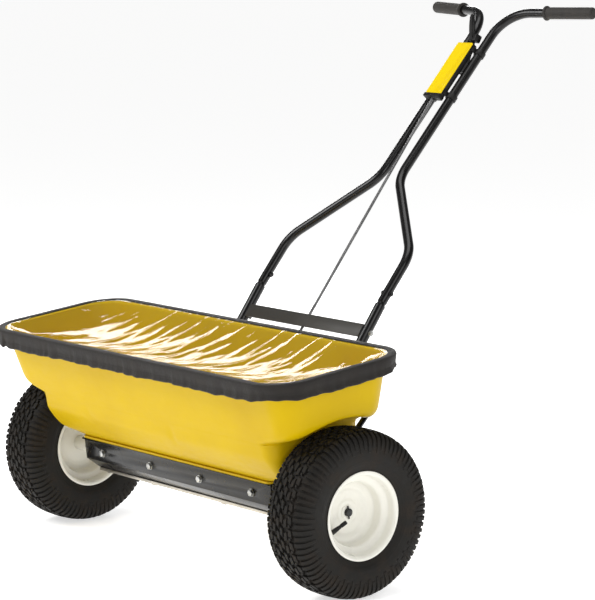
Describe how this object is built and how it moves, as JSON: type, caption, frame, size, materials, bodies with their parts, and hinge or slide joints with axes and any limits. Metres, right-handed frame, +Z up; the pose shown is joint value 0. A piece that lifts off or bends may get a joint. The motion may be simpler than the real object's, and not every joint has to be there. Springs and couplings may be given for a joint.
{
  "type": "walk-behind drop spreader",
  "caption": "Walk-behind drop spreader with a moulded hopper, clear cover, pneumatic wheels, tube handle and a hand lever that slides the drop gate.",
  "frame": {"origin": "on the ground, midway between the wheels and straight below the axle", "axes": "+X along the axle to the right-hand wheel, +Y to the rear, towards the handle, +Z up"},
  "size_m": [1.032, 1.0613, 1.1044],
  "materials": {
    "hopper_plastic": "rotomoulded yellow polyethylene, satin",
    "clear_vinyl": "clear vinyl sheet, glossy",
    "band_fabric": "dark elastic hem",
    "frame_paint": "black powder coat",
    "plate_paint": "dark grey powder coat",
    "stainless": "brushed stainless sheet",
    "zinc": "zinc plated",
    "rim_paint": "white enamel",
    "tyre_rubber": "black tyre rubber",
    "grip_rubber": "soft black rubber",
    "nylon": "black nylon",
    "yellow_cover": "yellow plastic, glossy"
  },
  "bodies": {
    "chassis": {"hopper": "hopper_plastic", "front_channel": "frame_paint", "rear_channel": "frame_paint", "end_plate_left": "frame_paint", "end_plate_right": "frame_paint", "axle_bearing_left": "nylon", "axle_bearing_right": "nylon", "floor_plate": "stainless", "gate_guides": "stainless", "channel_bolts_front": "zinc", "channel_bolts_rear": "zinc", "handle_tube_lower_left": "frame_paint", "handle_tube_lower_right": "frame_paint", "handle_tube_upper_left": "frame_paint", "handle_tube_upper_right": "frame_paint", "handle_spigots": "zinc", "handle_joint_bolts": "zinc", "grip_left": "grip_rubber", "grip_right": "grip_rubber", "cross_plate": "plate_paint", "cross_plate_bolts": "zinc", "rod_guide": "nylon", "handle_bracket_left": "frame_paint", "handle_bracket_right": "frame_paint", "handle_bracket_bolts": "zinc", "stand": "frame_paint", "stand_bolts": "zinc", "stand_feet": "grip_rubber", "hopper_braces": "frame_paint", "crank_bracket": "frame_paint", "crank_pin": "zinc", "console_base": "frame_paint", "console_cover": "yellow_cover", "console_cap": "nylon", "console_clips_lower": "frame_paint", "console_clips_upper": "frame_paint", "lever_pin": "zinc"},
    "drive_axle": {"axle": "zinc", "agitator": "zinc", "hub_right": "rim_paint", "rim_right": "rim_paint", "tyre_right": "tyre_rubber", "valve_stem_right": "tyre_rubber", "axle_pins": "zinc", "axle_washers": "zinc"},
    "free_wheel": {"hub_left": "rim_paint", "wheel_bushes": "nylon", "rim_left": "rim_paint", "tyre_left": "tyre_rubber", "valve_stem_left": "tyre_rubber"},
    "cover": {"cover_sheet": "clear_vinyl", "cover_band": "band_fabric"},
    "lever": {"lever": "nylon"},
    "rod": {"control_rod": "zinc", "rod_pins": "zinc"},
    "crank": {"gate_crank": "zinc"},
    "gate": {"gate_plate": "stainless", "gate_pin": "zinc"},
    "knob": {"stop_knob": "nylon"}
  },
  "joints": [
    {"name": "axle_spin", "type": "hinge", "parent": "chassis", "child": "drive_axle", "pos_m": [0, 0, 0.165], "axis": [1, 0, 0], "continuous": true},
    {"name": "free_wheel_spin", "type": "hinge", "parent": "chassis", "child": "free_wheel", "pos_m": [-0.459, 0, 0.165], "axis": [1, 0, 0], "continuous": true},
    {"name": "lever_hinge", "type": "hinge", "parent": "chassis", "child": "lever", "pos_m": [0, 0.70004, 0.96621], "axis": [-1, 0, 0], "range_deg": [0, 34.62]},
    {"name": "rod_slide", "type": "slide", "parent": "chassis", "child": "rod", "axis": [0, 0.6074, 0.7944], "range_m": [0, 0.01571]},
    {"name": "crank_hinge", "type": "hinge", "parent": "chassis", "child": "crank", "pos_m": [0, 0.10682, 0.20451], "axis": [-1, 0, 0], "range_deg": [0, 30.01]},
    {"name": "gate_slide", "type": "slide", "parent": "chassis", "child": "gate", "axis": [0, -0.9925, -0.1219], "range_m": [0, 0.0202]},
    {"name": "cover_lift", "type": "slide", "parent": "chassis", "child": "cover", "axis": [0, -0.1219, 0.9925], "range_m": [0, 0.15]},
    {"name": "knob_turn", "type": "hinge", "parent": "chassis", "child": "knob", "pos_m": [0.02, 0.71943, 1.03336], "axis": [1, 0, 0], "continuous": true}
  ],
  "couplings": [
    {"joint": "rod_slide", "follows": "lever_hinge", "m_per_rad": 0.026},
    {"joint": "crank_hinge", "follows": "lever_hinge", "ratio": 0.86667},
    {"joint": "gate_slide", "follows": "lever_hinge", "m_per_rad": 0.033104}
  ]
}
